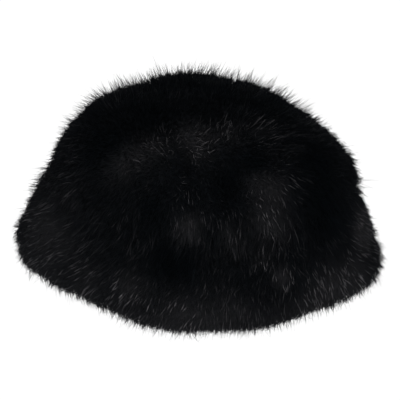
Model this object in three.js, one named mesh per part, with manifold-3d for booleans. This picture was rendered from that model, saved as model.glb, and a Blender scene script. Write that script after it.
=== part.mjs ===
// A domed fur hat with a deep turned-up cuff, standing on its rim.
// The crown is a hollow pelt: a thin leather wall that goes down inside the cuff, with a thick coat of fur above it.
// The cuff is a soft ring of fur round the crown's wall, and its flattened underside is what the hat rests on.
// Both coats are dense fur with rows of locks joined to them, which lie down the hat like shingles.
// Millimetres, +Z up, front at -X, origin on the surface below the middle of the hat.

import * as THREE from "three";
import { mergeVertices } from "three/addons/utils/BufferGeometryUtils.js";
import Module from "manifold-3d";

const wasm = await Module();
wasm.setup();

// Overall sizes, over the tips of the locks
const HAT_LENGTH = 276;
const HAT_WIDTH = 216;
const HAT_HEIGHT = 146;
// The head opening and the hollow above it
const HEAD_LENGTH = 196;
const HEAD_WIDTH = 160;
const HOLLOW_HEIGHT = 124;
// The leather of the crown, and how far its edge is above the underside of the cuff
const PELT_WALL = 2.5;
const WALL_FOOT = 3;
// The cuff, and the clearance between the three pieces
const CUFF_HEIGHT = 76;
const SEAM_GAP = 0.5;
// The front of the rim curves up off the surface, and the crown leans towards the front
const RIM_RISE = 10;
const CROWN_LEAN = 7;
// The deepest dent and the fullest swell of the soft coat
const DENT_DEPTH = 6;
// The locks
const LOCK_RELIEF = 4;
const LOCK_LENGTH = 34;
const LOCK_WIDTH = 24;
const LOCK_ROOT = 2.5;
const LOCK_SPREAD = 0.35;
// Spacing of the facets, round the hat and up it
const SIDES = 48;
const CUFF_STEPS = 9;
const CROWN_STEPS = 11;
const DOME_STEPS = 5;

const COAT_LENGTH = HAT_LENGTH - 2 * LOCK_RELIEF;
const COAT_WIDTH = HAT_WIDTH - 2 * LOCK_RELIEF;
const COAT_HEIGHT = HAT_HEIGHT - LOCK_RELIEF / 2;
const CROWN_FOOT = CUFF_HEIGHT + SEAM_GAP;

// The plan of the coat, from the back (+X) round one side to the front, as shares of half its length and width. The
// other side mirrors it.
const PLAN = [
  { length: 1.02, width: 0.0 },
  { length: 0.84, width: 0.5 },
  { length: 0.485, width: 0.84 },
  { length: 0.03, width: 1.0 },
  { length: -0.43, width: 0.86 },
  { length: -0.8, width: 0.505 },
  { length: -1.01, width: 0.0 },
];
// Sections of the cuff's coat, from the surface up: height as a share of the cuff's, length and width as shares of
// the coat's.
const CUFF_SECTIONS = [
  { height: 0.0, length: 0.86, width: 0.87 },
  { height: 0.06, length: 0.945, width: 0.95 },
  { height: 0.17, length: 1.0, width: 1.0 },
  { height: 0.3, length: 0.978, width: 0.995 },
  { height: 0.47, length: 0.94, width: 0.975 },
  { height: 0.66, length: 0.92, width: 0.945 },
  { height: 0.84, length: 0.905, width: 0.915 },
  { height: 0.95, length: 0.885, width: 0.9 },
  { height: 1.0, length: 0.84, width: 0.865 },
];
// Sections of the crown's coat, from the cuff up: height as a share of the crown's rise.
const CROWN_SECTIONS = [
  { height: 0.0, length: 0.83, width: 0.85 },
  { height: 0.05, length: 0.86, width: 0.88 },
  { height: 0.15, length: 0.845, width: 0.875 },
  { height: 0.32, length: 0.775, width: 0.835 },
  { height: 0.51, length: 0.715, width: 0.765 },
  { height: 0.69, length: 0.63, width: 0.675 },
  { height: 0.84, length: 0.535, width: 0.56 },
  { height: 0.94, length: 0.395, width: 0.41 },
  { height: 0.985, length: 0.22, width: 0.23 },
  { height: 1.0, length: 0.0, width: 0.0 },
];
// How far the rim is off the surface, as a share of RIM_RISE, from the back (0 degrees) to the front (180).
const RIM_LINE = [
  { azimuth: 0, rise: 0.0 },
  { azimuth: 100, rise: 0.0 },
  { azimuth: 125, rise: 0.55 },
  { azimuth: 150, rise: 1.0 },
  { azimuth: 180, rise: 0.2 },
];
// Soft dents and swells of the coat. Azimuth is in degrees from the back, height a share of the hat's, around and up
// how far each one spreads, and depth a share of DENT_DEPTH, outwards where it is positive.
const DENTS = [
  { azimuth: 236, height: 0.82, around: 24, up: 0.12, depth: 0.5 },
  { azimuth: 216, height: 0.74, around: 16, up: 0.13, depth: -0.45 },
  { azimuth: 262, height: 0.7, around: 13, up: 0.12, depth: 0.6 },
  { azimuth: 258, height: 0.42, around: 16, up: 0.16, depth: -0.8 },
  { azimuth: 283, height: 0.78, around: 14, up: 0.13, depth: -0.9 },
  { azimuth: 308, height: 0.72, around: 16, up: 0.13, depth: 0.8 },
  { azimuth: 296, height: 0.47, around: 16, up: 0.08, depth: -0.5 },
  { azimuth: 304, height: 0.33, around: 14, up: 0.1, depth: 0.4 },
  { azimuth: 331, height: 0.6, around: 15, up: 0.14, depth: -0.7 },
  { azimuth: 0, height: 0.64, around: 26, up: 0.09, depth: 0.6 },
  { azimuth: 180, height: 0.2, around: 22, up: 0.12, depth: 0.4 },
  { azimuth: 55, height: 0.68, around: 20, up: 0.15, depth: -0.6 },
  { azimuth: 92, height: 0.8, around: 20, up: 0.13, depth: 0.5 },
  { azimuth: 118, height: 0.5, around: 22, up: 0.13, depth: -0.5 },
];

// Rows of locks, from the lowest up. At is how far up the sections the roots are, and count the locks in the row.
const CUFF_LOCKS = [
  { at: 0.42, count: 22 },
  { at: 0.68, count: 21 },
  { at: 0.93, count: 20 },
];
const CROWN_LOCKS = [
  { at: 0.34, count: 22 },
  { at: 0.48, count: 20 },
  { at: 0.62, count: 17 },
  { at: 0.75, count: 12 },
  { at: 0.88, count: 7 },
];

const TURN = 2 * Math.PI;

// A fixed number between 0 and 1 for each whole number, so that the fur is the same each time.
function chance(seed) {
  const wave = Math.sin(seed * 12.9898 + 4.1414) * 43758.5453;
  return wave - Math.floor(wave);
}

function mix(low, high, share) {
  return low + (high - low) * share;
}

// How many degrees apart two azimuths are, by the shorter way.
function turnBetween(a, b) {
  return Math.abs(((a - b + 540) % 360) - 180);
}

// How far the rim is off the surface in the direction of a place in plan.
function rimRise(x, y) {
  const azimuth = Math.abs(THREE.MathUtils.radToDeg(Math.atan2(y, x)));
  const next = RIM_LINE.findIndex((row, i) => i > 0 && azimuth <= row.azimuth + 1e-6);
  const [below, above] = [RIM_LINE[next - 1], RIM_LINE[next]];
  const share = THREE.MathUtils.smoothstep(azimuth, below.azimuth, above.azimuth);
  return RIM_RISE * mix(below.rise, above.rise, share);
}

// The dents and swells at a place on the coat.
function swell(theta, height) {
  const azimuth = THREE.MathUtils.radToDeg(theta);
  return DENTS.reduce((sum, dent) => {
    const across = turnBetween(azimuth, dent.azimuth) / dent.around;
    const along = (height - dent.height) / dent.up;
    return sum + DENT_DEPTH * dent.depth * Math.exp(-across * across - along * along);
  }, 0);
}

const mirrored = PLAN.slice(1, -1).reverse().map(({ length, width }) => ({ length, width: -width }));
const planCurve = new THREE.CatmullRomCurve3(
  [...PLAN, ...mirrored].map(({ length, width }) => new THREE.Vector3(length, width, 0)),
  true,
  "catmullrom",
  0.5,
);

// The outline of the coat in plan at a height: the PLAN low down, and nearer an oval higher up.
function planPoint(theta, share) {
  const oval = new THREE.Vector3(Math.cos(theta), Math.sin(theta), 0);
  const turn = THREE.MathUtils.euclideanModulo(theta / TURN, 1);
  return planCurve.getPoint(turn).lerp(oval, share / 2);
}

// A place in the hat with the crown's lean and the rim's rise.
function hatPoint(x, y, z) {
  const share = z / HAT_HEIGHT;
  return new THREE.Vector3(x - CROWN_LEAN * share * share, y, z + rimRise(x, y) * Math.max(0, 1 - share));
}

// A table of sections as smooth curves, read at a share of the way along its rows.
function sectionCurve(rows) {
  const shape = new THREE.CatmullRomCurve3(
    rows.map((row) => new THREE.Vector3(row.length, row.width, row.height)),
    false,
    "centripetal",
  );
  return (at) => {
    const place = shape.getPoint(THREE.MathUtils.clamp(at, 0, 1));
    return { length: Math.max(0, place.x), width: Math.max(0, place.y), height: place.z };
  };
}

const cuffSection = sectionCurve(CUFF_SECTIONS);
const crownSection = sectionCurve(CROWN_SECTIONS);

// A point of the coat, with its dents and swells, which move it away from the middle of the hat.
function coatPoint(section, foot, rise, theta, at) {
  const { length, width, height } = section(at);
  const z = foot + rise * height;
  const plan = planPoint(theta, z / HAT_HEIGHT);
  const point = hatPoint((COAT_LENGTH / 2) * length * plan.x, (COAT_WIDTH / 2) * width * plan.y, z);
  const middle = new THREE.Vector3(0, 0, COAT_HEIGHT / 3);
  const out = point.clone().sub(middle).normalize();
  // The underside stays flat, and the seam between crown and cuff stays where it is.
  const seam = z < CUFF_HEIGHT ? CUFF_HEIGHT - z : Math.max(0, z - CROWN_FOOT);
  const clear = Math.min(1, z / (CUFF_HEIGHT / 4), seam / (CUFF_HEIGHT / 8));
  return point.addScaledVector(out, swell(theta, z / HAT_HEIGHT) * clear);
}

function cuffPoint(theta, at) {
  return coatPoint(cuffSection, 0, CUFF_HEIGHT, theta, at);
}

function crownPoint(theta, at) {
  return coatPoint(crownSection, CROWN_FOOT, COAT_HEIGHT - CROWN_FOOT, theta, at);
}

// A point of the upright wall round the head, so far out from the hollow and so high.
function wallPoint(theta, out, z) {
  const x = (HEAD_LENGTH / 2 + out) * Math.cos(theta);
  const y = (HEAD_WIDTH / 2 + out) * Math.sin(theta);
  return hatPoint(x, y, z);
}

// A point of the dome over the head, so far out from the hollow. Climb goes from 0 at the seam to 1 at the top.
function domePoint(theta, out, climb) {
  const angle = (climb * Math.PI) / 2;
  const x = (HEAD_LENGTH / 2 + out) * Math.cos(theta) * Math.cos(angle);
  const y = (HEAD_WIDTH / 2 + out) * Math.sin(theta) * Math.cos(angle);
  return hatPoint(x, y, CROWN_FOOT + (HOLLOW_HEIGHT - CROWN_FOOT + out) * Math.sin(angle));
}

// One ring of points round the hat, by a function of the angle.
function ringOf(pointAt) {
  return Array.from({ length: SIDES }, (_, i) => pointAt((TURN * i) / SIDES));
}

function pole(point) {
  return [point];
}

// A closed skin over a list of rings, each of SIDES points or one at a pole. A loop joins the last to the first.
function skin(rings, loop) {
  const places = rings.flat();
  const starts = rings.map((_, i) => rings.slice(0, i).reduce((sum, ring) => sum + ring.length, 0));
  const faces = [];
  const last = loop ? rings.length : rings.length - 1;
  for (let r = 0; r < last; r++) {
    const [low, high] = [r, (r + 1) % rings.length];
    for (let i = 0; i < SIDES; i++) {
      const j = (i + 1) % SIDES;
      const corner = (ring, k) => starts[ring] + (rings[ring].length === 1 ? 0 : k);
      if (rings[low].length > 1) faces.push(corner(low, i), corner(low, j), corner(high, i));
      if (rings[high].length > 1) faces.push(corner(low, j), corner(high, j), corner(high, i));
    }
  }
  const geometry = new THREE.BufferGeometry().setFromPoints(places);
  geometry.setIndex(faces);
  return geometry;
}

function solidOf(geometry) {
  const bare = geometry.clone();
  bare.deleteAttribute("normal");
  bare.deleteAttribute("uv");
  const merged = mergeVertices(bare, 1e-4);
  const vertProperties = merged.getAttribute("position").array;
  const triVerts = new Uint32Array(merged.index.array);
  return new wasm.Manifold(new wasm.Mesh({ numProp: 3, vertProperties, triVerts }));
}

// Locks that lean on one another can shut in a bubble of air, or leave a crumb where they are cut: only the outer
// skin of the largest body is kept.
function outerSkin(solid) {
  return solid.decompose().reduce((largest, body) => (body.volume() > largest.volume() ? body : largest));
}

function geometryOf(solid) {
  const { vertProperties, triVerts } = solid.getMesh();
  const geometry = new THREE.BufferGeometry();
  geometry.setAttribute("position", new THREE.BufferAttribute(vertProperties, 3));
  geometry.setIndex(new THREE.BufferAttribute(triVerts, 1));
  const flat = geometry.toNonIndexed();
  flat.computeVertexNormals();
  return flat;
}

// A lock of fur: a leaf that starts under the coat, widens as it runs down the hat, and ends in a raised tip.
// pointAt is the coat's surface, and length is how far the lock runs, as a share of the way along its sections.
function lockGeometry(pointAt, theta, at, length, width, relief) {
  const stations = [
    { along: 0.0, spread: 0.5, top: 0.3 },
    { along: 0.6, spread: 1.0, top: 0.9 },
  ];
  const step = 0.01;
  const frameAt = (share) => {
    const here = Math.max(step, at - length * share);
    const place = pointAt(theta, here);
    const up = pointAt(theta, here + step).sub(pointAt(theta, here - step)).normalize();
    const across = pointAt(theta + step, here).sub(pointAt(theta - step, here)).normalize();
    return { place, across, out: across.clone().cross(up).normalize() };
  };
  const places = stations.flatMap(({ along, spread, top }) => {
    const { place, across, out } = frameAt(along);
    const edge = (side) =>
      place.clone().addScaledVector(across, (side * width * spread) / 2).addScaledVector(out, -0.3 * LOCK_ROOT);
    return [
      edge(-1),
      place.clone().addScaledVector(out, -LOCK_ROOT),
      edge(1),
      place.clone().addScaledVector(out, relief * top),
    ];
  });
  const end = frameAt(1);
  places.push(end.place.addScaledVector(end.out, relief));
  const tip = places.length - 1;
  const faces = [0, 2, 1, 0, 3, 2];
  for (let s = 0; s < stations.length - 1; s++)
    for (let i = 0; i < 4; i++) {
      const [a, b] = [4 * s + i, 4 * s + ((i + 1) % 4)];
      faces.push(a, b, a + 4, b, b + 4, a + 4);
    }
  const end4 = 4 * (stations.length - 1);
  for (let i = 0; i < 4; i++) faces.push(end4 + i, end4 + ((i + 1) % 4), tip);
  const geometry = new THREE.BufferGeometry().setFromPoints(places);
  geometry.setIndex(faces);
  return geometry;
}

// A coat's rows of locks, each lock a little different in place, size and lift.
function locks(rows, pointAt, seed) {
  return rows.flatMap(({ at, count }, row) =>
    Array.from({ length: count }, (_, i) => {
      const key = seed + 100 * row + i;
      const theta = (TURN * (i + 0.5 * (row % 2) + LOCK_SPREAD * (chance(key) - 0.5))) / count;
      const reach = pointAt(theta, at + 0.01).distanceTo(pointAt(theta, at)) / 0.01;
      const length = Math.min(at - 0.02, (LOCK_LENGTH * mix(0.8, 1.15, chance(key + 0.3))) / reach);
      const width = LOCK_WIDTH * mix(0.85, 1.15, chance(key + 0.6));
      const relief = LOCK_RELIEF * mix(0.6, 1, chance(key + 0.8));
      return solidOf(lockGeometry(pointAt, theta, at, length, width, relief));
    }),
  );
}

// Everything outside the crown's wall and below a height, or above it, as a thick ring that follows the rim's rise.
function clearance(low, high) {
  const far = HAT_LENGTH;
  return solidOf(
    skin(
      [
        ringOf((theta) => wallPoint(theta, PELT_WALL / 2, low)),
        ringOf((theta) => wallPoint(theta, far, low)),
        ringOf((theta) => wallPoint(theta, far, high)),
        ringOf((theta) => wallPoint(theta, PELT_WALL / 2, high)),
      ],
      true,
    ),
  );
}

// Even shares from 0 up to, and not with, 1.
function shares(steps) {
  return Array.from({ length: steps }, (_, i) => i / steps);
}

// The rings of the dome over the head from the seam up, so far out from the hollow, without its pole.
function domeRings(out) {
  return shares(DOME_STEPS).map((climb) => ringOf((theta) => domePoint(theta, out, climb)));
}

function crownPelt() {
  return solidOf(
    skin(
      [
        pole(domePoint(0, 0, 1)),
        ...domeRings(0).reverse(),
        ringOf((theta) => wallPoint(theta, 0, WALL_FOOT)),
        ringOf((theta) => wallPoint(theta, PELT_WALL, WALL_FOOT)),
        ...domeRings(PELT_WALL),
        pole(domePoint(0, PELT_WALL, 1)),
      ],
      false,
    ),
  );
}

function crownFur() {
  const inside = PELT_WALL + SEAM_GAP;
  const body = solidOf(
    skin(
      [
        pole(domePoint(0, inside, 1)),
        ...domeRings(inside).reverse(),
        ...shares(CROWN_STEPS).map((at) => ringOf((theta) => crownPoint(theta, at))),
        pole(crownPoint(0, 1)),
      ],
      false,
    ),
  );
  const below = clearance(-HAT_HEIGHT, CROWN_FOOT);
  const tufts = locks(CROWN_LOCKS, crownPoint, 1000).map((lock) => lock.subtract(below));
  return outerSkin(tufts.reduce((sum, lock) => sum.add(lock), body));
}

function cuffFur() {
  const inside = PELT_WALL + SEAM_GAP;
  const body = solidOf(
    skin(
      [
        ringOf((theta) => wallPoint(theta, inside, 0)),
        ...shares(CUFF_STEPS).map((at) => ringOf((theta) => cuffPoint(theta, at))),
        ringOf((theta) => cuffPoint(theta, 1)),
        ringOf((theta) => wallPoint(theta, inside, CUFF_HEIGHT)),
      ],
      true,
    ),
  );
  const above = clearance(CUFF_HEIGHT, 2 * HAT_HEIGHT);
  const floor = new THREE.BoxGeometry(2 * HAT_LENGTH, 2 * HAT_LENGTH, HAT_HEIGHT);
  const below = solidOf(floor.translate(0, 0, -HAT_HEIGHT / 2));
  const tufts = locks(CUFF_LOCKS, cuffPoint, 5000).map((lock) => lock.subtract(above).subtract(below));
  return outerSkin(tufts.reduce((sum, lock) => sum.add(lock), body));
}

const leatherMaterial = new THREE.MeshStandardMaterial({ color: 0x1a1716, roughness: 0.9, metalness: 0 });
const crownMaterial = new THREE.MeshStandardMaterial({ color: 0x0d0d10, roughness: 0.75, metalness: 0 });
const cuffMaterial = new THREE.MeshStandardMaterial({ color: 0x111114, roughness: 0.75, metalness: 0 });

function named(name, solid, material) {
  const mesh = new THREE.Mesh(geometryOf(solid), material);
  mesh.name = name;
  return mesh;
}

const hat = new THREE.Group();
hat.add(named("crown_pelt", crownPelt(), leatherMaterial));
hat.add(named("crown_fur", crownFur(), crownMaterial));
hat.add(named("cuff_fur", cuffFur(), cuffMaterial));

export default hat;
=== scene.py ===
"""A black deep-pile fur hat with a flared fur cuff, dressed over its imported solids."""

import math

import bmesh
import bpy
import numpy as np
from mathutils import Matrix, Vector, noise
from mathutils.bvhtree import BVHTree


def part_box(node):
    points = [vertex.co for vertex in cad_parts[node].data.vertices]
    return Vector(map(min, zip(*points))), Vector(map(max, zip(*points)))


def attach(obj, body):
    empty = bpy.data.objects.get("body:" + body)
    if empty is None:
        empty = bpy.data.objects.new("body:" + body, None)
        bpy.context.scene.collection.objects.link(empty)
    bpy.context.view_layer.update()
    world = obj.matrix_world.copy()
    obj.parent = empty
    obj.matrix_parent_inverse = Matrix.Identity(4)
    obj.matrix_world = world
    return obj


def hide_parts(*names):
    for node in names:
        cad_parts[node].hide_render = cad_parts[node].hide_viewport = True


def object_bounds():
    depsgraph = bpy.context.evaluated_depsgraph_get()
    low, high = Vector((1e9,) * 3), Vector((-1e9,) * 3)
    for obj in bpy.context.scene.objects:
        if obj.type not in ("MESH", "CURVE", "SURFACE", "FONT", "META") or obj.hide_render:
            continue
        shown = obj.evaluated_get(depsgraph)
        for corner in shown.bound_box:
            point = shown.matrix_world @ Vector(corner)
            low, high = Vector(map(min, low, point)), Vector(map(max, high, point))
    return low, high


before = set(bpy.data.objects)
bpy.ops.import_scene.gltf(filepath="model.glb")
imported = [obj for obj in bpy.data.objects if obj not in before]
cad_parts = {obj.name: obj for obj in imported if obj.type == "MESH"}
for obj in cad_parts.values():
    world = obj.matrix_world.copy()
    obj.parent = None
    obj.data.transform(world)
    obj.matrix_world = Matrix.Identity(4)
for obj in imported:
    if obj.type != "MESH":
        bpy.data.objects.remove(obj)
CAD_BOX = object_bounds()

bl_info = {
    "name": "Fur Hat",
    "version": (1, 0, 0),
    "blender": (4, 5, 0),
    "location": "View3D > Sidebar > Fur Hat",
    "description": "Leather, underfur, strands and stage for a cuffed fur hat",
    "category": "Object",
}

# Directions round the hat are in degrees from the back (+X), turning towards +Y.
# The photograph's side is at 270.
TURN = 2 * math.pi
UPRIGHT = math.pi / 2

# The grid that the underfur is made on, and how many times the form read from the solids is smoothed.
COLUMNS = 200
CROWN_ROWS = 44
CUFF_ROWS = 36
DOME_ROWS = 8
SOFTEN = 5

# All in metres: how far the underfur keeps from the seam, how thin it may be, how wide the band under
# the rim is, and how far the rim is tucked in.
EDGE = 0.0008
THIN = 0.002
RIM_BAND = 0.009
RIM_TUCK = 0.0025
# The least distances from the cuff's inner wall to its outside and to the band under the rim, and from
# the band to the outside.
WALL_TO_OUTSIDE = 0.0015
WALL_TO_BAND = 0.0005
BAND_TO_OUTSIDE = 0.001
# How far off rays start towards the hat, and the distances that stand in where one misses a solid.
FAR_OUT = 0.3
CROWN_RADIUS = 0.1
CUFF_RADIUS = 0.11

# The camera and the lights: the heights on the hat's axis that they look at and how far off the lights
# stand, in metres, the sensor in millimetres, and the lens's shift as a share of the picture.
CAMERA_AIM = 0.055
LIGHT_AIM = 0.06
LIGHT_DISTANCE = 1.6
SENSOR = 36
LENS_SHIFT = 5.2 / 400
WORLD_LIGHT = 0.12
LIGHTS = (
    # name, degrees round from the photograph's side towards the back, degrees up, metres wide, watts
    ("key light", -28, 42, 1.6, 13.4),
    ("fill light", 42, 34, 1.6, 9.5),
    ("back light", 180, 6, 0.3, 8),
)
FLOOR_HALF = 6


class HatCoat(bpy.types.PropertyGroup):
    """The sizes of the fur."""

    pile: bpy.props.FloatProperty(
        name="Pile",
        description="How deep the top of the dense underfur lies below the outline of the coat",
        default=0.0028,
        min=0.0005,
        unit="LENGTH",
        subtype="DISTANCE",
    )
    strand_length: bpy.props.FloatProperty(
        name="Strand length",
        description="Length of a hair of the coat, from the underfur to its tip",
        default=0.008,
        min=0.002,
        unit="LENGTH",
        subtype="DISTANCE",
    )
    strand_width: bpy.props.FloatProperty(
        name="Strand width",
        description="Width of a hair of the coat at its root",
        default=0.00042,
        min=0.0001,
        unit="LENGTH",
        subtype="DISTANCE",
    )
    guard_length: bpy.props.FloatProperty(
        name="Guard hair length",
        description="Length of the longer hairs that stand out of the coat",
        default=0.0138,
        min=0.002,
        unit="LENGTH",
        subtype="DISTANCE",
    )
    guard_width: bpy.props.FloatProperty(
        name="Guard hair width",
        description="Width of a guard hair at its root",
        default=0.00026,
        min=0.0001,
        unit="LENGTH",
        subtype="DISTANCE",
    )
    crown_hairs: bpy.props.IntProperty(
        name="Crown hairs",
        description="Hairs in each half of the crown's coat",
        default=18500,
        min=100,
    )
    cuff_hairs: bpy.props.IntProperty(
        name="Cuff hairs",
        description="Hairs in each half of the cuff's coat",
        default=18500,
        min=100,
    )
    guard_hairs: bpy.props.IntProperty(
        name="Guard hairs",
        description="Guard hairs over the whole hat",
        default=12000,
        min=100,
    )


class HatColours(bpy.types.PropertyGroup):
    """The colours of the fur and the leather."""

    fur: bpy.props.FloatVectorProperty(
        name="Fur",
        description="Colour of the darkest hair",
        default=(0.003, 0.0043, 0.0055),
        size=3,
        min=0,
        max=1,
        subtype="COLOR",
    )
    # The pale colour that hairs are painted towards where they glint and where the coat's painted sheen
    # lies: painted highlights.
    tip: bpy.props.FloatVectorProperty(
        name="Painted glints and sheen",
        description="Colour of the palest hair, where the coat catches the light",
        default=(0.68, 0.65, 0.69),
        size=3,
        min=0,
        max=1,
        subtype="COLOR",
    )
    # The underfur is painted towards this colour by its grain and by its painted sheen and rim light.
    wool: bpy.props.FloatVectorProperty(
        name="Underfur",
        description="Colour of the palest underfur",
        default=(0.07, 0.067, 0.072),
        size=3,
        min=0,
        max=1,
        subtype="COLOR",
    )
    leather: bpy.props.FloatVectorProperty(
        name="Leather",
        description="Colour of the skin side, seen inside the crown",
        default=(0.05, 0.042, 0.038),
        size=3,
        min=0,
        max=1,
        subtype="COLOR",
    )


class HatStage(bpy.types.PropertyGroup):
    """The camera and the floor."""

    azimuth: bpy.props.FloatProperty(
        name="Azimuth",
        description="Direction of the camera, from the hat's side towards its back",
        default=math.radians(2.5),
        unit="ROTATION",
        subtype="ANGLE",
    )
    elevation: bpy.props.FloatProperty(
        name="Elevation",
        description="Height of the camera over the floor, as an angle",
        default=math.radians(28.5),
        unit="ROTATION",
        subtype="ANGLE",
    )
    distance: bpy.props.FloatProperty(
        name="Distance",
        description="Distance of the camera from the hat",
        default=1.3,
        unit="LENGTH",
        subtype="DISTANCE",
    )
    frame_width: bpy.props.FloatProperty(
        name="Frame width",
        description="Width of the picture at the hat",
        default=0.2984,
        unit="LENGTH",
        subtype="DISTANCE",
    )
    floor: bpy.props.FloatVectorProperty(
        name="Floor",
        description="Colour of the floor",
        default=(0.12, 0.12, 0.12),
        size=3,
        min=0,
        max=1,
        subtype="COLOR",
    )


# Patches of painted sheen and painted shade, where the coat is painted paler or darker as if lit, and how
# far each reaches, all in millimetres, and how much paler or darker it is there.
SHEEN_PATCHES = (
    # x, y, z, reach, painted sheen or shade
    (-58, -66, 114, 11, 0.22),
    (-46, -62, 125, 11, 0.4),
    (-30, -58, 132, 11, 0.42),
    (0, -48, 140, 13, 0.6),
    (1, -57, 133, 11, 0.35),
    (23, -43, 139, 11, 0.35),
    (45, -34, 137, 8, 0.25),
    (55, -70, 106, 11, 0.5),
    (44, -72, 113, 10, 0.3),
    (51, -78, 88, 12, 0.45),
    (61, -74, 77, 10, 0.2),
    (-3, -90, 88, 8, 0.8),
    (24, -88, 84, 6, 0.45),
    (31, -88, 74, 7, 0.4),
    (63, -86, 47, 6.5, 0.85),
    (49, -84, 63, 8, 0.35),
    (-112, -37, 52, 26, 0.5),
    (-92, -58, 59, 18, 0.12),
    (-90, -51, 95, 14, 0.12),
    (-78, -76, 34, 14, 0.3),
    (-46, -91, 37, 11, 0.55),
    (-10, -103, 26, 20, 0.42),
    (-5, -99, 42, 12, -0.1),
    (26, -100, 24, 14, 0.35),
    (100, -63, 26, 17, 0.6),
    (118, -45, 30, 13, 0.5),
    (84, -76, 23, 12, 0.2),
    (122, -19, 51, 13, 1.7),
    (85, -35, 110, 22, -0.1),
    (22, -71, 110, 14, -0.1),
    (-13, -90, 60, 16, -0.2),
    (89, -49, 79, 20, -0.12),
    (-31, -84, 98, 12, -0.08),
    (-68, -44, 127, 16, -0.1),
    (42, -62, 121, 9, -0.15),
)

# Places where the hairs are painted to glint more or less, as painted highlights, and how far each
# reaches, all in millimetres, and by what share.
GLINTS = (
    # x, y, z, reach, change
    (-52, -64, 119, 16, -0.7),
    (-57, -67, 110, 12, -0.3),
    (-110, -37, 60, 30, -0.5),
    (0, -36, 141, 14, -0.65),
    (10, -50, 138, 15, -0.15),
    (-33, -57, 131, 13, -0.2),
    (48, -42, 133, 12, 0.35),
    (65, -48, 118, 12, 0.3),
    (55, -72, 106, 14, 0.3),
    (-4, -78, 113, 10, 0.3),
    (-4, -90, 92, 9, 0.3),
    (23, -87, 88, 11, 1.0),
    (-45, -82, 92, 14, 0.15),
    (63, -86, 47, 10, 0.2),
)

# How long and how thickly the hairs grow, as shares, at shares of the hat's height above the floor.
COAT_LENGTHS = ((0, 0.75), (0.1, 0.85), (0.6, 0.9), (1, 0.84))
GUARD_LENGTHS = (
    *((0, 1.05), (0.05, 0.95), (0.15, 0.56), (0.7, 0.6)),
    *((0.9, 1.02), (0.95, 0.83), (1, 0.58)),
)
COAT_GROWTH = ((0, 1.0), (1, 1.0))
CROWN_GUARD_GROWTH = ((0.5, 0.6), (0.8, 0.7), (0.91, 1.25), (1, 1.1))
CUFF_GUARD_GROWTH = ((0, 1.6), (0.06, 1.6), (0.12, 0.7), (0.5, 0.6))

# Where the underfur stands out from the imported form, or lies deeper. The azimuth and how far it reaches
# round are in degrees, the height and how far it reaches up are shares of the hat's height, and how far
# out it stands is in millimetres.
SWELLS = (
    # azimuth, height, around, up, out
    (273, 0.02, 15, 0.12, -4.6),
    (227, 0.08, 14, 0.12, -2.8),
    (320, 0.04, 13, 0.12, -4.6),
    (247, 0.04, 9, 0.1, -0.8),
    (299, 0.04, 9, 0.1, 0.8),
    (345, 0.09, 14, 0.1, 3.2),
    (181, 0.23, 22, 0.16, 5.5),
    (178, 0.59, 24, 0.14, -7.2),
    (145, 0.92, 17, 0.06, -5.2),
    (80, 0.96, 22, 0.05, -3.0),
    (52, 0.93, 14, 0.06, -1.6),
    (173, 0.82, 12, 0.07, -2.4),
    (187, 0.1, 12, 0.08, -1.8),
    (171, 0.65, 8, 0.05, 2.0),
    (20, 0.86, 14, 0.08, -3.6),
    (9, 0.71, 16, 0.12, -2.0),
    (359, 0.47, 15, 0.09, -3.8),
    (4, 0.64, 12, 0.04, 1.2),
    (333, 0.02, 9, 0.1, -2.0),
    (288, 0.02, 8, 0.1, -1.2),
)


def solid_tree(node):
    """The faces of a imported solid, to send rays at."""
    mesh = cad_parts[node].data
    points = [v.co.copy() for v in mesh.vertices]
    return BVHTree.FromPolygons(points, [tuple(p.vertices) for p in mesh.polygons])


def reach(tree, start, direction, far=0.5):
    """Where a ray first meets a solid, or None."""
    return tree.ray_cast(start, direction, far)[0]


def azimuths():
    return [TURN * i / COLUMNS for i in range(COLUMNS)]


def outward(turn):
    return Vector((math.cos(turn), math.sin(turn), 0))


def soften(grid, passes):
    """Smooths a grid of rows and columns, round the hat and up it."""
    grid = np.array(grid, float)
    for _ in range(passes):
        grid = (np.roll(grid, 1, axis=1) + 2 * grid + np.roll(grid, -1, axis=1)) / 4
        padded = np.concatenate([grid[:1], grid, grid[-1:]])
        grid = (padded[:-2] + 2 * grid + padded[2:]) / 4
    return grid


def from_outside(tree, centre, direction, fallback):
    """The farthest distance from a centre at which a solid stands along a direction."""
    hit = reach(tree, centre + FAR_OUT * direction, -direction, FAR_OUT)
    return fallback if hit is None else (hit - centre).length


def from_inside(tree, centre, direction, fallback):
    """The nearest distance from a centre at which a solid stands along a direction."""
    hit = reach(tree, centre, direction)
    return fallback if hit is None else (hit - centre).length


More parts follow.
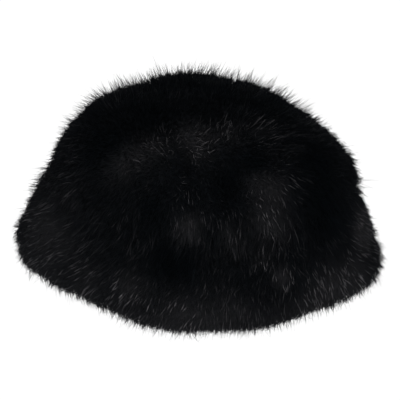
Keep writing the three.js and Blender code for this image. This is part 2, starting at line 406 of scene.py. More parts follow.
class CoatForm:
    """The outer form of the crown and the cuff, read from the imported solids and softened."""

    def __init__(self):
        crown, cuff = solid_tree("crown_fur"), solid_tree("cuff_fur")
        up = Vector((0, 0, 1))
        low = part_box("crown_fur")[0][2]
        below_seam, below_crown, below_floor = low - 0.004, low - 0.02, -0.02
        self.wall, self.seam, self.foot = [], [], []
        # One ray goes out to the cuff's inner wall. Two go up, a little out from the wall, to the
        # seam and to the rim.
        for turn in azimuths():
            out = outward(turn)
            wall = from_inside(cuff, Vector((0, 0, below_seam)), out, CROWN_RADIUS)
            under = reach(crown, out * (wall + 0.0015) + up * below_crown, up)
            rim = reach(cuff, out * (wall + 0.004) + up * below_floor, up)
            self.wall.append(wall)
            self.seam.append(low if under is None else under.z)
            self.foot.append(0.0 if rim is None else rim.z)
        self.crown = soften(self.read_crown(crown, CROWN_ROWS, from_outside), SOFTEN)
        self.dome = self.read_crown(crown, DOME_ROWS, from_inside)
        self.cuff = soften(self.read_cuff(cuff), SOFTEN)

    def read_crown(self, tree, count, probe):
        """Distances to the crown from just over the seam, level first and then climbing to the top."""
        rows = []
        for i in range(count):
            climb = UPRIGHT * i / count
            row = []
            for turn, seam in zip(azimuths(), self.seam):
                ray = spherical(turn, climb, 1.0, 0.0)
                row.append(probe(tree, Vector((0, 0, seam + EDGE)), ray, CROWN_RADIUS))
            rows.append(row)
        return rows

    def read_cuff(self, tree):
        """Distances from the hat's axis to the cuff, from its foot up to the seam."""
        rows = []
        for i in range(CUFF_ROWS + 1):
            share = i / CUFF_ROWS
            row = []
            for turn, seam, foot in zip(azimuths(), self.seam, self.foot):
                height = foot + EDGE + share * (seam - foot - 3 * EDGE)
                row.append(from_outside(tree, Vector((0, 0, height)), outward(turn), CUFF_RADIUS))
            rows.append(row)
        return rows


def swell_at(point):
    """How far the coat stands out at a place, from SWELLS."""
    azimuth = math.degrees(math.atan2(point.y, point.x)) % 360
    height = point.z / CAD_BOX[1][2]
    total = 0.0
    for where, level, around, up, out in SWELLS:
        turn = (azimuth - where + 540) % 360 - 180
        total += out * math.exp(-((turn / around) ** 2) - ((height - level) / up) ** 2)
    return total / 1000


def loft(name, rows, poles, looped):
    """A closed mesh through rows of points, with a pole at each end, or joined end to start."""
    mesh = bpy.data.meshes.new(name)
    points = [p for row in rows for p in row]
    faces = []
    count = len(rows) if looped else len(rows) - 1
    for r in range(count):
        low, high = r * COLUMNS, (r + 1) % len(rows) * COLUMNS
        for i in range(COLUMNS):
            j = (i + 1) % COLUMNS
            faces.append((low + i, low + j, high + j, high + i))
    for pole, row in zip(poles, (0, len(rows) - 1)):
        centre = len(points)
        points.append(pole)
        for i in range(COLUMNS):
            j = (i + 1) % COLUMNS
            a, b = row * COLUMNS + i, row * COLUMNS + j
            faces.append((centre, b, a) if row == 0 else (a, b, centre))
    mesh.from_pydata([tuple(p) for p in points], [], faces)
    mesh.validate()
    return mesh


def add_object(name, data):
    piece = bpy.data.objects.new(name, data)
    bpy.context.scene.collection.objects.link(piece)
    return piece


def dispose(piece):
    mesh = piece.data
    bpy.data.objects.remove(piece)
    bpy.data.meshes.remove(mesh)


def shade_smooth(mesh):
    mesh.polygons.foreach_set("use_smooth", [True] * len(mesh.polygons))


def spherical(turn, climb, distance, height):
    """The place at a distance from a height on the hat's axis, in a direction round and up."""
    flat = distance * math.cos(climb)
    rise = distance * math.sin(climb)
    return Vector((math.cos(turn) * flat, math.sin(turn) * flat, height + rise))


def ring(distances, heights, climb=0.0):
    """A row of places round the hat, each with its own distance and height."""
    columns = zip(azimuths(), distances, heights)
    return [spherical(turn, climb, distance, height) for turn, distance, height in columns]


def swollen(point, height):
    """A place on the coat, moved out from a height on the hat's axis, or in, as SWELLS says."""
    way = (point - Vector((0, 0, height))).normalized()
    return point + way * swell_at(point)


def thinned(rows_in, least):
    """The share of the pile's depth at some rows in from the coat's edge, where it thins."""
    return min(1.0, least + rows_in / 6)


def crown_rows(form, pile):
    """The rows of the crown's underfur: over the leather, out at the seam, and up the outside."""
    centres = [seam + EDGE for seam in form.seam]
    rows = []
    for i in reversed(range(DOME_ROWS)):
        rows.append(ring(form.dome[i], centres, UPRIGHT * i / DOME_ROWS))
    for i in range(CROWN_ROWS):
        depths = form.crown[i] - pile * thinned(i, 0.35)
        near_seam = i < 4
        if near_seam:
            depths = np.maximum(depths, np.array(form.wall) + THIN)
        row = ring(depths, centres, UPRIGHT * i / CROWN_ROWS)
        rows.append([swollen(point, seam) for point, seam in zip(row, form.seam)])
    top = spherical(0, UPRIGHT, float(form.crown[-1].mean()) - pile, centres[0])
    under = spherical(0, UPRIGHT, float(np.mean(form.dome[-1])), centres[0])
    return rows, (under, top)


def kept_out(point, least):
    """The point, or the one straight out from it that is this far from the hat's axis."""
    stretch = max(1.0, least / math.hypot(point.x, point.y))
    return Vector((point.x * stretch, point.y * stretch, point.z))


def cuff_rows(form, pile):
    """The rows of the cuff's underfur: out under the rim, up the outside, and back at the seam."""
    least = np.array(form.wall) + THIN
    outside = []
    for i in range(CUFF_ROWS + 1):
        share = i / CUFF_ROWS
        heights = [foot + share * (seam - foot - EDGE) for seam, foot in zip(form.seam, form.foot)]
        tuck = RIM_TUCK * math.exp(-((share / 0.1) ** 2))
        depths = np.maximum(form.cuff[i] - pile * thinned(CUFF_ROWS - i, 0.45) - tuck, least)
        row = [swollen(point, height) for point, height in zip(ring(depths, heights), heights)]
        outside.append([kept_out(point, wall + WALL_TO_OUTSIDE) for point, wall in zip(row, form.wall)])
    bands = []
    for depth, hem, wall in zip(form.cuff[0], outside[0], form.wall):
        band = min(depth - RIM_BAND, math.hypot(hem.x, hem.y) - BAND_TO_OUTSIDE)
        bands.append(max(band, wall + WALL_TO_BAND))
    tops = [seam - EDGE for seam in form.seam]
    return [ring(form.wall, form.foot), ring(bands, form.foot), *outside, ring(form.wall, tops)]


def crown_growth(index, under):
    """How thickly the crown's underfur is haired: fully outside, and not over the leather."""
    return 0.0 if index < DOME_ROWS * COLUMNS or index == under else 1.0


def cuff_growth(form, index, last):
    """How thickly the cuff's underfur is haired: fully outside, and a little under a raised rim."""
    row, column = divmod(index, COLUMNS)
    if row == 1:
        return 0.25 * min(1.0, max(0.0, form.foot[column] - 0.001) / 0.005)
    return 1.0 if 1 < row < last else 0.0


def patched(share, table, point):
    """A share, changed by the places of a table, each of which fades away from its middle."""
    for x, y, z, span, change in table:
        share += change * math.exp(-((1000 * point - Vector((x, y, z))).length / span) ** 2)
    return share


def tone_and_sheen_at(point):
    """How pale the coat is at a place: painted paler at the rim as if lit from the floor and darker over
    the top, with patches of painted sheen and shade and, faintly, random clouds of its own tone.
    """
    height = point.z / CAD_BOX[1][2]
    # Painted light: the rim is painted paler for the light thrown up by the floor, and the top darker.
    rim, top = max(0.0, 1 - height / 0.22), max(0.0, height - 0.8)
    tone_and_sheen = patched(0.12 + 0.5 * rim - 0.3 * top, SHEEN_PATCHES, point)
    far_side = min(1.0, max(0.12, 0.1 + point.y / 0.05))
    tone_and_sheen += 0.3 * far_side * max(-0.4, noise.noise(point * 38 + Vector((3.1, 0.7, 5.2))))
    return min(1.0, max(0.02, tone_and_sheen))


def glint_at(point, tone_and_sheen, foot):
    """How much the hairs are painted to glint at a place: most where the coat is pale, least at the rim.
    """
    share = patched(min(1.0, max(0.0, (tone_and_sheen - 0.05) / 0.35)), GLINTS, point)
    clear = 0.15 + 0.85 * min(1.0, max(0.0, (point.z - foot - 0.004) / 0.014))
    return min(1.0, max(0.0, share)) * clear


def stand_at(height, near_seam):
    """How upright the hair stands, as a share: more at the top and the rim, less at the seam."""
    top, rim = max(0.0, height - 0.5) / 0.5, max(0.0, 1 - height / 0.1)
    return 0.46 + 0.28 * top + 0.12 * rim - 0.22 * near_seam


def crown_way(point):
    """Which way the crown's hair is combed: down, and at the top away from a whirl."""
    top = max(0.0, point.z - 0.11) / 0.03
    return Vector((-0.1 + 3 * min(0.08, max(-0.12, point.x)) + 0.5 * top, -0.45, -1))


def cuff_way(point):
    """Which way the cuff's hair is combed: down and towards the front."""
    return Vector((-0.4 + 8 * min(0.0, point.x + 0.03), 0, -1))


def comb_coat(mesh, form, growth, way):
    """Stores on the underfur where hair grows and how long, which way it lies, how pale it is with its
    painted sheen and shade, and how much it is painted to glint.
    """
    normals = [v.vector.copy() for v in mesh.vertex_normals]
    columns = {name: [] for name in ("grows", "long", "lay", "droop", "tone_and_sheen", "catch")}
    for vertex, normal in zip(mesh.vertices, normals):
        place = vertex.co
        column = vertex.index % COLUMNS
        underside = normal.z < -0.6
        down = -Vector((place.x, place.y, 0)).normalized() if underside else way(place)
        down -= normal * down.dot(normal)
        down /= max(down.length, 0.7)
        near_seam = math.exp(-(((place.z - form.seam[column]) / 0.011) ** 2))
        stand = stand_at(place.z / CAD_BOX[1][2], near_seam)
        tone_and_sheen = tone_and_sheen_at(place)
        columns["grows"].append(growth(vertex.index))
        columns["long"].append(1 + 0.8 * near_seam)
        columns["lay"].extend((normal * stand + down * (1 - stand)).normalized())
        columns["droop"].extend(down)
        columns["tone_and_sheen"].append(tone_and_sheen)
        columns["catch"].append(glint_at(place, tone_and_sheen, form.foot[column]))
    for name, values in columns.items():
        vector = len(values) > len(mesh.vertices)
        attribute = mesh.attributes.new(name, "FLOAT_VECTOR" if vector else "FLOAT", "POINT")
        attribute.data.foreach_set("vector" if vector else "value", values)


# Attributes that only shape the hairs. All of them come off the finished hairs, and the first few off
# the underfur, which keeps its tone and painted sheen.
COMBING = ("grows", "long", "lay", "droop", "catch")
WORKING = (*COMBING, "tone_and_sheen", "root", "run", "pull", "sag", "shade", "glint", "along", "up")


class Tree:
    """A geometry node tree with named inputs, filled a node at a time."""

    def __init__(self, name, inputs):
        self.group = bpy.data.node_groups.new(name, "GeometryNodeTree")
        face = self.group.interface
        face.new_socket("Geometry", in_out="INPUT", socket_type="NodeSocketGeometry")
        face.new_socket("Geometry", in_out="OUTPUT", socket_type="NodeSocketGeometry")
        self.sockets = {}
        for label, kind, default in inputs:
            socket = face.new_socket(label, in_out="INPUT", socket_type=kind)
            if default is not None:
                socket.default_value = default
            self.sockets[label] = socket.identifier
        self.given = self.group.nodes.new("NodeGroupInput")
        self.result = self.group.nodes.new("NodeGroupOutput")

    def input(self, label):
        return self.given.outputs[label]

    def add(self, kind, inputs=(), **settings):
        node = self.group.nodes.new(kind)
        for key, value in settings.items():
            setattr(node, key, value)
        for key, value in dict(inputs).items():
            if isinstance(value, bpy.types.NodeSocket):
                self.group.links.new(value, node.inputs[key])
            else:
                node.inputs[key].default_value = value
        return node

    # Sockets go by number where a node has several with one name.

    def math(self, operation, a, b=0.0):
        return self.add("ShaderNodeMath", {0: a, 1: b}, operation=operation).outputs[0]

    def vector(self, operation, a, b=(0, 0, 0)):
        return self.add("ShaderNodeVectorMath", {0: a, 1: b}, operation=operation).outputs[0]

    def scaled(self, vector, factor):
        return self.add("ShaderNodeVectorMath", {0: vector, 3: factor}, operation="SCALE").outputs[0]

    def remap(self, value, low, high, to_low, to_high):
        inputs = {0: value, 1: low, 2: high, 3: to_low, 4: to_high}
        return self.add("ShaderNodeMapRange", inputs).outputs[0]

    def noise(self, place, scale):
        """A soft noise at a place, as a share and as a colour."""
        node = self.add("ShaderNodeTexNoise", {"Vector": place, "Scale": scale, "Detail": 1.0})
        return node.outputs[0], node.outputs[1]

    def read(self, name, kind="FLOAT"):
        return self.add("GeometryNodeInputNamedAttribute", {"Name": name}, data_type=kind).outputs[0]

    def read_vector(self, name):
        return self.read(name, "FLOAT_VECTOR")

    def store(self, geometry, name, value, kind="FLOAT", domain="POINT"):
        inputs = {"Geometry": geometry, "Name": name, "Value": value}
        node = self.add("GeometryNodeStoreNamedAttribute", inputs, data_type=kind, domain=domain)
        return node.outputs[0]

    def store_vector(self, geometry, name, value):
        return self.store(geometry, name, value, "FLOAT_VECTOR")

    def seed(self, step):
        """The piece's own seed, a step on for each thing that is drawn."""
        return self.math("ADD", self.input("Seed"), step)

    def chance(self, low, high, seed):
        inputs = {2: low, 3: high, 8: seed}
        return self.add("FunctionNodeRandomValue", inputs, data_type="FLOAT").outputs[1]

    def chance_vector(self, seed):
        inputs = {0: (-1, -1, -1), 1: (1, 1, 1), 8: seed}
        return self.add("FunctionNodeRandomValue", inputs, data_type="FLOAT_VECTOR").outputs[0]

    def scatter(self, density, seed):
        """Points over the coat, more where more hair grows, and the coat's normal at each."""
        density = self.math("MULTIPLY", self.read("grows"), density)
        inputs = {"Mesh": self.input("Geometry"), "Density": density, "Seed": seed}
        node = self.add("GeometryNodeDistributePointsOnFaces", inputs, distribute_method="RANDOM")
        return node.outputs[0], node.outputs[1]


STRAND_INPUTS = (
    ("Hairs", "NodeSocketFloat", 100000.0),
    ("Locks", "NodeSocketFloat", 20000.0),
    ("Length", "NodeSocketFloat", 0.01),
    ("Length Spread", "NodeSocketFloat", 0.25),
    ("Long Few", "NodeSocketFloat", 0.0),
    ("Root Width", "NodeSocketFloat", 0.0004),
    # The share of hairs that are painted pale where they glint, as painted highlights.
    ("Bright Share", "NodeSocketFloat", 0.08),
    ("Stray", "NodeSocketFloat", 0.25),
    ("Ruffle", "NodeSocketFloat", 0.5),
    ("Droop", "NodeSocketFloat", 0.3),
    ("Gather", "NodeSocketFloat", 0.5),
    ("Tuft Rise", "NodeSocketFloat", 0.7),
    ("Tuft Stray", "NodeSocketFloat", 0.3),
    ("Lift", "NodeSocketFloat", 0.0),
    ("Points", "NodeSocketInt", 3),
    ("Floor", "NodeSocketFloat", 0.0003),
    ("Seed", "NodeSocketInt", 1),
    ("Material", "NodeSocketMaterial", None),
)
# The seeds of the locks, which all the pieces share, so that a lock takes in hairs of each.
LOCK_SEED, RISE_SEED, TURN_SEED = 77, 21, 23


def strand_tree():
    """Hairs over a coat: each leans as the coat lies, bends to a lock's tip and ends in a point."""
    tree = Tree("Fur strands", STRAND_INPUTS)
    place = tree.add("GeometryNodeInputPosition").outputs[0]
    eddies = tree.noise(place, 55.0)[1]
    wander = tree.vector("SUBTRACT", eddies, (0.5, 0.5, 0.5))
    lay = tree.vector("ADD", tree.read_vector("lay"), tree.scaled(wander, tree.input("Ruffle")))
    long = tree.math("MULTIPLY", tree.input("Length"), tree.read("long"))
    locks = lock_tips(tree, place, lay, long)
    roots = hair_roots(tree, place, lay, long)
    roots = bend_to_locks(tree, place, roots, locks)
    fur = hair_surface(tree, hair_lines(tree, roots))
    tree.group.links.new(fur, tree.result.inputs[0])
    return tree


def lock_tips(tree, place, lay, long):
    """Points over the coat, each with the tip of the lock that stands there."""
    locks, out = tree.scatter(tree.input("Locks"), LOCK_SEED)
    locks = tree.store_vector(locks, "up", out)
    rank = tree.math("POWER", tree.chance(0.0, 1.0, RISE_SEED), 4.0)
    tall = tree.math("ADD", tree.math("MULTIPLY", rank, tree.input("Tuft Rise")), 0.8)
    turned = tree.scaled(tree.chance_vector(TURN_SEED), tree.input("Tuft Stray"))
    raised = tree.scaled(tree.read_vector("up"), rank)
    way = tree.vector("ADD", lay, tree.vector("ADD", turned, raised))
    run = tree.scaled(tree.vector("NORMALIZE", way), tree.math("MULTIPLY", long, tall))
    return tree.store_vector(locks, "tip", tree.vector("ADD", place, run))


def hair_roots(tree, place, lay, long):
    """Points over the coat, each with a hair's straight run, its sag, its shade and its painted glint."""
    roots, out = tree.scatter(tree.input("Hairs"), tree.input("Seed"))
    spread = tree.input("Length Spread")
    low, high = tree.math("SUBTRACT", 1.0, spread), tree.math("ADD", 1.0, spread)
    few = tree.math("POWER", tree.chance(0.0, 1.0, tree.seed(4.0)), 8.0)
    share = tree.chance(low, high, tree.seed(3.0))
    share = tree.math("ADD", share, tree.math("MULTIPLY", few, tree.input("Long Few")))
    own = tree.math("MULTIPLY", long, share)
    stray = tree.scaled(tree.chance_vector(tree.seed(5.0)), tree.input("Stray"))
    upright = tree.vector("ADD", tree.scaled(out, tree.input("Lift")), stray)
    way = tree.vector("NORMALIZE", tree.vector("ADD", lay, upright))
    sag = tree.math("MULTIPLY", own, tree.input("Droop"))
    # Painted glints gather in soft clouds, scaled by how much the coat is painted to catch the light
    # there.
    cloud = tree.remap(tree.noise(place, 65.0)[0], 0.44, 0.6, 0.12, 0.44)
    glint = tree.math("MULTIPLY", cloud, tree.read("catch"))
    roots = tree.store_vector(roots, "root", place)
    roots = tree.store_vector(roots, "run", tree.scaled(way, own))
    roots = tree.store_vector(roots, "sag", tree.scaled(tree.read_vector("droop"), sag))
    roots = tree.store(roots, "shade", tree.chance(0.0, 1.0, tree.seed(11.0)))
    return tree.store(roots, "glint", glint)


def bend_to_locks(tree, place, roots, locks):
    """Gives each hair its pull towards the tip of the nearest lock."""
    nearest = tree.add("GeometryNodeSampleNearest", {"Geometry": locks}, domain="POINT").outputs[0]
    inputs = {"Geometry": locks, "Value": tree.read_vector("tip"), "Index": nearest}
    tip = tree.add("GeometryNodeSampleIndex", inputs, data_type="FLOAT_VECTOR", domain="POINT")
    own_tip = tree.vector("ADD", place, tree.read_vector("run"))
    gather = tree.math("MULTIPLY", tree.input("Gather"), tree.chance(0.6, 1.0, tree.seed(7.0)))
    pull = tree.scaled(tree.vector("SUBTRACT", tip.outputs[0], own_tip), gather)
    return tree.store_vector(roots, "pull", pull)


def hair_lines(tree, roots):
    """A curved line for each hair, kept off the floor."""
    line = tree.add("GeometryNodeCurvePrimitiveLine").outputs[0]
    inputs = {"Curve": line, "Count": tree.input("Points")}
    line = tree.add("GeometryNodeResampleCurve", inputs).outputs[0]
    hairs = tree.add("GeometryNodeInstanceOnPoints", {"Points": roots, "Instance": line}).outputs[0]
    hairs = tree.add("GeometryNodeRealizeInstances", {"Geometry": hairs}).outputs[0]
    along = tree.add("GeometryNodeSplineParameter").outputs[0]
    bend = tree.vector("ADD", tree.read_vector("pull"), tree.read_vector("sag"))
    straight = tree.scaled(tree.read_vector("run"), along)
    spot = tree.vector("ADD", tree.read_vector("root"), straight)
    spot = tree.vector("ADD", spot, tree.scaled(bend, tree.math("MULTIPLY", along, along)))
    parts = tree.add("ShaderNodeSeparateXYZ", {0: spot})
    height = tree.math("MAXIMUM", parts.outputs[2], tree.input("Floor"))
    spot = tree.add("ShaderNodeCombineXYZ", {0: parts.outputs[0], 1: parts.outputs[1], 2: height})
    inputs = {"Geometry": hairs, "Position": spot.outputs[0]}
    hairs = tree.add("GeometryNodeSetPosition", inputs).outputs[0]
    return tree.store(hairs, "along", along)


def hair_surface(tree, hairs):
    """A three-sided surface round each line, with its shade, painted sheen or a painted glint, and the
    way along it in OFBake.
    """
    narrow = tree.remap(tree.math("POWER", tree.read("along"), 2.5), 0.0, 1.0, 1.0, 0.0)
    half = tree.math("MULTIPLY", tree.input("Root Width"), 0.5)
    radius = tree.math("MULTIPLY", half, narrow)
    profile = tree.add("GeometryNodeCurvePrimitiveCircle", {"Resolution": 3, "Radius": 1.0}).outputs[0]
    inputs = {"Curve": hairs, "Profile Curve": profile, "Scale": radius, "Fill Caps": True}
    fur = tree.add("GeometryNodeCurveToMesh", inputs).outputs[0]
    fur = tree.add("GeometryNodeMergeByDistance", {"Geometry": fur, "Distance": 1e-7}).outputs[0]
    # Painted light: a plain hair is painted by the coat's tone and painted sheen, a little differently
    # from hair to hair, and a bright hair by its painted glint.
    dull = tree.math("SUBTRACT", 1.0, tree.input("Bright Share"))
    bright = tree.math("GREATER_THAN", tree.read("shade"), dull)
    plain = tree.math("ADD", tree.math("MULTIPLY", tree.read("shade"), 0.012), 0.04)
    plain = tree.math("MULTIPLY", plain, tree.read("tone_and_sheen"))
    shade = tree.math("MAXIMUM", plain, tree.math("MULTIPLY", bright, tree.read("glint")))
    spot = tree.add("ShaderNodeCombineXYZ", {0: shade, 1: tree.read("along")}).outputs[0]
    fur = tree.store(fur, "OFBake", spot, "FLOAT2", "CORNER")
    fur = tree.add("GeometryNodeSetShadeSmooth", {"Geometry": fur}).outputs[0]
    fur = tree.add("GeometryNodeRealizeInstances", {"Geometry": fur}).outputs[0]
    inputs = {"Geometry": fur, "Material": tree.input("Material")}
    return tree.add("GeometryNodeSetMaterial", inputs).outputs[0]


def up_the_hat(table, places):
    """The shares that a table gives at the heights of some places."""
    heights, shares = zip(*table)
    return np.interp(places[:, 2] / CAD_BOX[1][2], heights, shares)


def weigh(mesh, name, shares):
    """Multiplies an attribute of the underfur by a share at each of its points."""
    values = np.zeros(len(mesh.vertices), np.float32)
    mesh.attributes[name].data.foreach_get("value", values)
    values *= shares.astype(np.float32)
    mesh.attributes[name].data.foreach_set("value", values)
    return values


def grow(tree, name, base, side, growth, lengths, hairs, values):
    """A piece of about so many strands, on one side of the hat, or on both where side is 0."""
    mesh = base.data.copy()
    places = np.zeros(3 * len(mesh.vertices), np.float32)
    mesh.vertices.foreach_get("co", places)
    places = places.reshape(-1, 3)
    here = (places[:, 1] >= 0) == (side > 0) if side else np.ones(len(places))
    grows = weigh(mesh, "grows", here * up_the_hat(growth, places))
    weigh(mesh, "long", up_the_hat(lengths, places))
    area = sum(p.area * float(np.mean(grows[list(p.vertices)])) for p in mesh.polygons)
    source = add_object(name + "_source", mesh)
    modifier = source.modifiers.new("strands", "NODES")
    modifier.node_group = tree.group
    for label, value in {**values, "Hairs": hairs / area}.items():
        modifier[tree.sockets[label]] = value
    ready = source.evaluated_get(bpy.context.evaluated_depsgraph_get())
    fur = bpy.data.meshes.new_from_object(ready)
    dispose(source)
    for attribute in [a.name for a in fur.attributes if a.name in WORKING]:
        fur.attributes.remove(fur.attributes[attribute])
    fur.name = name
    return add_object(name, fur)


def link(tree, source, target):
    tree.links.new(source, target)


def new_material(name):
    material = bpy.data.materials.new(name)
    material.use_nodes = True
    tree = material.node_tree
    return material, tree, tree.nodes["Principled BSDF"]


def nap_group():
    """The fine grain that the underfur and the leather share: a mask, and the relief that it makes."""
    group = bpy.data.node_groups.get("Nap")
    if group:
        return group
    group = bpy.data.node_groups.new("Nap", "ShaderNodeTree")
    for label in ("Scale", "Detail", "Strength", "Depth"):
        group.interface.new_socket(label, in_out="INPUT", socket_type="NodeSocketFloat")
    group.interface.new_socket("Grain", in_out="OUTPUT", socket_type="NodeSocketFloat")
    group.interface.new_socket("Normal", in_out="OUTPUT", socket_type="NodeSocketVector")
    given, result = group.nodes.new("NodeGroupInput"), group.nodes.new("NodeGroupOutput")
    where = group.nodes.new("ShaderNodeTexCoord")
    grain = group.nodes.new("ShaderNodeTexNoise")
    relief = group.nodes.new("ShaderNodeBump")
    link(group, where.outputs["Object"], grain.inputs["Vector"])
    link(group, given.outputs["Scale"], grain.inputs["Scale"])
    link(group, given.outputs["Detail"], grain.inputs["Detail"])
    link(group, given.outputs["Strength"], relief.inputs["Strength"])
    link(group, given.outputs["Depth"], relief.inputs["Distance"])
    link(group, grain.outputs["Fac"], relief.inputs["Height"])
    link(group, grain.outputs["Fac"], result.inputs["Grain"])
    link(group, relief.outputs["Normal"], result.inputs["Normal"])
    return group


def add_nap(tree, surface, **values):
    """Places the nap in a material, with its own values, and gives the surface its relief."""
    nap = tree.nodes.new("ShaderNodeGroup")
    nap.node_tree = nap_group()
    for label, value in values.items():
        nap.inputs[label].default_value = value
    link(tree, nap.outputs["Normal"], surface.inputs["Normal"])
    return nap.outputs["Grain"]


def mixed(tree, surface, share, first, second):
    """Gives the surface a colour between two, by a share that changes over it."""
    colour = tree.nodes.new("ShaderNodeMix")
    colour.data_type = "RGBA"
    # Of this node's many sockets, the colours are inputs 6 and 7 and output 2.
    colour.inputs[6].default_value = (*first, 1)
    colour.inputs[7].default_value = (*second, 1)
    link(tree, share, colour.inputs[0])
    link(tree, colour.outputs[2], surface.inputs["Base Color"])


def combined(tree, operation, first, second):
    """Two values of a material put together by a Math node."""
    node = tree.nodes.new("ShaderNodeMath")
    node.operation = operation
    for socket, value in zip(node.inputs, (first, second)):
        if isinstance(value, bpy.types.NodeSocket):
            link(tree, value, socket)
        else:
            socket.default_value = value
    return node.outputs[0]


def strand_material(colours):
    """Black hair: painted paler where it glints, more so towards the tip, and where the coat's painted
    sheen lies, and a little different from hair to hair.
    """
    material, tree, surface = new_material("Fur strands")
    where = tree.nodes.new("ShaderNodeUVMap")
    where.uv_map = "OFBake"
    parts = tree.nodes.new("ShaderNodeSeparateXYZ")
    link(tree, where.outputs[0], parts.inputs[0])
    # The painted glint grows paler from near the root towards the tip; a plain hair keeps one painted
    # shade all along.
    rise = tree.nodes.new("ShaderNodeMapRange")
    rise.inputs["From Min"].default_value = 0.15
    rise.inputs["From Max"].default_value = 0.6
    rise.inputs["To Min"].default_value = 0.1
    link(tree, parts.outputs[1], rise.inputs[0])
    glint = combined(tree, "MULTIPLY", parts.outputs[0], rise.outputs[0])
    plain = combined(tree, "MINIMUM", parts.outputs[0], 0.03)
    mixed(tree, surface, combined(tree, "MAXIMUM", glint, plain), colours.fur, colours.tip)
    surface.inputs["Roughness"].default_value = 0.42
    surface.inputs["Specular IOR Level"].default_value = 0.01
    return material


def underfur_material(colours):
    """The dense short wool under the hairs, dark, paler with its grain and where the coat's painted sheen
    and painted rim light lie.
    """
    material, tree, surface = new_material("Underfur")
    grain = add_nap(tree, surface, Scale=260.0, Detail=4.0, Strength=0.8, Depth=0.001)
    tone_and_sheen = tree.nodes.new("ShaderNodeAttribute")
    tone_and_sheen.attribute_name = "tone_and_sheen"
    share = combined(tree, "MULTIPLY", grain, tone_and_sheen.outputs["Fac"])
    mixed(tree, surface, share, colours.fur, colours.wool)
    surface.inputs["Roughness"].default_value = 0.9
    surface.inputs["Specular IOR Level"].default_value = 0.0
    return material


def leather_material(colours):
    """The skin side of the pelt: matt, with a fine nap and cloudy patches."""
    material, tree, surface = new_material("Pelt leather")
    add_nap(tree, surface, Scale=900.0, Detail=3.0, Strength=0.5, Depth=0.0004)
    where = tree.nodes.new("ShaderNodeTexCoord")
    cloud = tree.nodes.new("ShaderNodeTexNoise")
    cloud.inputs["Scale"].default_value = 28
    cloud.inputs["Detail"].default_value = 5
    link(tree, where.outputs["Object"], cloud.inputs["Vector"])
    dark, pale = ([share * c for c in colours.leather] for share in (0.6, 1.5))
    mixed(tree, surface, cloud.outputs["Fac"], dark, pale)
    surface.inputs["Roughness"].default_value = 0.85
    surface.inputs["Specular IOR Level"].default_value = 0.3
    return material


class HAT_OT_leather(bpy.types.Operator):
    """Makes the crown's leather, smooth, with its skin side showing inside the hat"""

    bl_idname = "hat.leather"
    bl_label = "Crown leather"

    def execute(self, context):
        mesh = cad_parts["crown_pelt"].data.copy()
        mesh.materials.clear()
        work = bmesh.new()
        work.from_mesh(mesh)
        bmesh.ops.remove_doubles(work, verts=work.verts, dist=1e-6)
        flat, skew, sharp = math.radians(30), math.radians(60), math.radians(60)
        bmesh.ops.join_triangles(
            work, faces=work.faces, angle_face_threshold=flat, angle_shape_threshold=skew
        )
        for edge in work.edges:
            if len(edge.link_faces) == 2 and edge.calc_face_angle() > sharp:
                edge.smooth = False
        work.to_mesh(mesh)
        work.free()
        piece = add_object("crown_leather", mesh)
        smooth = piece.modifiers.new("smooth", "SUBSURF")
        smooth.levels = smooth.render_levels = 2
        shade_smooth(mesh)
        mesh.materials.append(leather_material(context.scene.hat_colours))
        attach(piece, "root")
        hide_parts("crown_pelt")
        return {"FINISHED"}


class HAT_OT_underfur(bpy.types.Operator):
    """Makes the dense underfur of the crown and the cuff, which the hairs grow from"""

    bl_idname = "hat.underfur"
    bl_label = "Underfur"

    def execute(self, context):
        form = CoatForm()
        pile = context.scene.hat_coat.pile
        material = underfur_material(context.scene.hat_colours)
        rows, poles = crown_rows(form, pile)
        crown = add_object("crown_underfur", loft("crown_underfur", rows, poles, False))
        under = len(rows) * COLUMNS
        comb_coat(crown.data, form, lambda i: crown_growth(i, under), crown_way)
        rows = cuff_rows(form, pile)
        cuff = add_object("cuff_underfur", loft("cuff_underfur", rows, (), True))
        last = len(rows) - 1
        comb_coat(cuff.data, form, lambda i: cuff_growth(form, i, last), cuff_way)
        for piece, node in ((crown, "crown_fur"), (cuff, "cuff_fur")):
            shade_smooth(piece.data)
            piece.data.materials.append(material)
            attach(piece, "root")
            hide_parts(node)
        return {"FINISHED"}


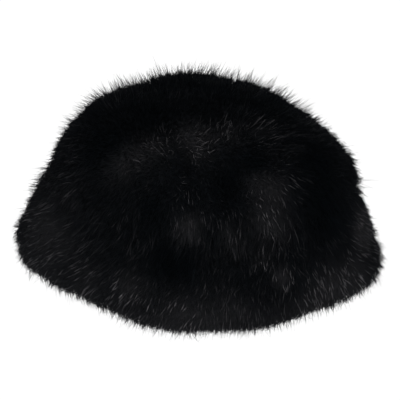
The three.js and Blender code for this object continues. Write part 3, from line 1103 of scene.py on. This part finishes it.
class HAT_OT_strands(bpy.types.Operator):
    """Grows the hairs of the coat and the longer guard hairs over the underfur"""

    bl_idname = "hat.strands"
    bl_label = "Strands"

    def execute(self, context):
        sizes = context.scene.hat_coat
        material = strand_material(context.scene.hat_colours)
        tree = strand_tree()
        crown, cuff = bpy.data.objects["crown_underfur"], bpy.data.objects["cuff_underfur"]
        coat = {
            "Locks": 90000.0,
            "Length": sizes.strand_length,
            "Root Width": sizes.strand_width,
            "Stray": 0.3,
            "Ruffle": 1.2,
            "Droop": 0.1,
            "Gather": 0.8,
            "Bright Share": 0.04,
            "Material": material,
        }
        guard = {
            **coat,
            "Locks": 15000.0,
            "Length": sizes.guard_length,
            "Length Spread": 0.3,
            "Long Few": 0.8,
            "Root Width": sizes.guard_width,
            "Stray": 0.5,
            "Gather": 0.15,
            "Lift": 0.5,
            "Bright Share": 0.32,
            "Points": 4,
        }
        half = sizes.guard_hairs // 2
        plan = (
            ("crown_strands_near", crown, -1, COAT_GROWTH, COAT_LENGTHS, sizes.crown_hairs, coat, 11),
            ("crown_strands_far", crown, 1, COAT_GROWTH, COAT_LENGTHS, sizes.crown_hairs, coat, 12),
            ("cuff_strands_near", cuff, -1, COAT_GROWTH, COAT_LENGTHS, sizes.cuff_hairs, coat, 13),
            ("cuff_strands_far", cuff, 1, COAT_GROWTH, COAT_LENGTHS, sizes.cuff_hairs, coat, 14),
            ("crown_guard_hairs", crown, 0, CROWN_GUARD_GROWTH, GUARD_LENGTHS, half, guard, 15),
            ("cuff_guard_hairs", cuff, 0, CUFF_GUARD_GROWTH, GUARD_LENGTHS, half, guard, 16),
        )
        for name, base, side, growth, lengths, hairs, values, seed in plan:
            piece = grow(tree, name, base, side, growth, lengths, hairs, {**values, "Seed": seed})
            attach(piece, "root")
        for base in (crown, cuff):
            for name in COMBING:
                base.data.attributes.remove(base.data.attributes[name])
        return {"FINISHED"}


def from_hat(azimuth, elevation):
    """A direction from the hat, round from the photograph's side towards the back, and up."""
    flat = math.cos(elevation)
    return Vector((math.sin(azimuth) * flat, -math.cos(azimuth) * flat, math.sin(elevation)))


def stand_off(name, data, way, distance, height):
    """A lamp or a camera at a distance from a height on the hat's axis, turned towards it."""
    item = add_object(name, data)
    item.location = way * distance + Vector((0, 0, height))
    item.rotation_euler = way.to_track_quat("Z", "Y").to_euler()
    return item


class HAT_OT_stage(bpy.types.Operator):
    """Makes the pale floor, the soft lights and the camera"""

    bl_idname = "hat.stage"
    bl_label = "Stage"

    def execute(self, context):
        stage = context.scene.hat_stage
        mesh = bpy.data.meshes.new("floor")
        far = FLOOR_HALF
        corners = [(-far, -far, 0), (far, -far, 0), (far, far, 0), (-far, far, 0)]
        mesh.from_pydata(corners, [], [(0, 1, 2, 3)])
        material, _, surface = new_material("Pale floor")
        surface.inputs["Base Color"].default_value = (*stage.floor, 1)
        surface.inputs["Roughness"].default_value = 0.9
        surface.inputs["Specular IOR Level"].default_value = 0.0
        surface.inputs["Emission Color"].default_value = (1, 1, 1, 1)
        surface.inputs["Emission Strength"].default_value = 1.0
        mesh.materials.append(material)
        add_object("floor", mesh)

        world = bpy.data.worlds.new("soft room")
        world.use_nodes = True
        world.node_tree.nodes["Background"].inputs[0].default_value = (1, 1, 1, 1)
        world.node_tree.nodes["Background"].inputs[1].default_value = WORLD_LIGHT
        context.scene.world = world
        for name, azimuth, elevation, width, power in LIGHTS:
            light = bpy.data.lights.new(name, "AREA")
            light.size = width
            light.energy = power
            way = from_hat(math.radians(azimuth), math.radians(elevation))
            stand_off(name, light, way, LIGHT_DISTANCE, LIGHT_AIM)

        camera = bpy.data.cameras.new("camera")
        camera.sensor_width = SENSOR
        camera.lens = SENSOR * stage.distance / stage.frame_width
        camera.shift_y = LENS_SHIFT
        camera.clip_start = 0.01
        way = from_hat(stage.azimuth, stage.elevation)
        context.scene.camera = stand_off("camera", camera, way, stage.distance, CAMERA_AIM)
        context.scene.view_settings.view_transform = "Standard"
        return {"FINISHED"}


class HAT_PT_panel(bpy.types.Panel):
    """The steps that dress the hat, in order"""

    bl_idname = "HAT_PT_panel"
    bl_label = "Fur Hat"
    bl_space_type = "VIEW_3D"
    bl_region_type = "UI"
    bl_category = "Fur Hat"

    def draw(self, context):
        for group in (context.scene.hat_coat, context.scene.hat_colours, context.scene.hat_stage):
            for key in group.bl_rna.properties.keys():
                if key not in ("rna_type", "name"):
                    self.layout.prop(group, key)
        for operator in OPERATORS:
            self.layout.operator(operator.bl_idname)


OPERATORS = (HAT_OT_leather, HAT_OT_underfur, HAT_OT_strands, HAT_OT_stage)
GROUPS = {"hat_coat": HatCoat, "hat_colours": HatColours, "hat_stage": HatStage}


def register():
    for cls in (*GROUPS.values(), *OPERATORS, HAT_PT_panel):
        bpy.utils.register_class(cls)
    for name, group in GROUPS.items():
        setattr(bpy.types.Scene, name, bpy.props.PointerProperty(type=group))


def unregister():
    for name in GROUPS:
        delattr(bpy.types.Scene, name)
    for cls in (HAT_PT_panel, *reversed(OPERATORS), *reversed(list(GROUPS.values()))):
        bpy.utils.unregister_class(cls)


def main():
    register()
    bpy.ops.hat.leather()
    bpy.ops.hat.underfur()
    bpy.ops.hat.strands()
    bpy.ops.hat.stage()


if __name__ == "__main__":
    main()
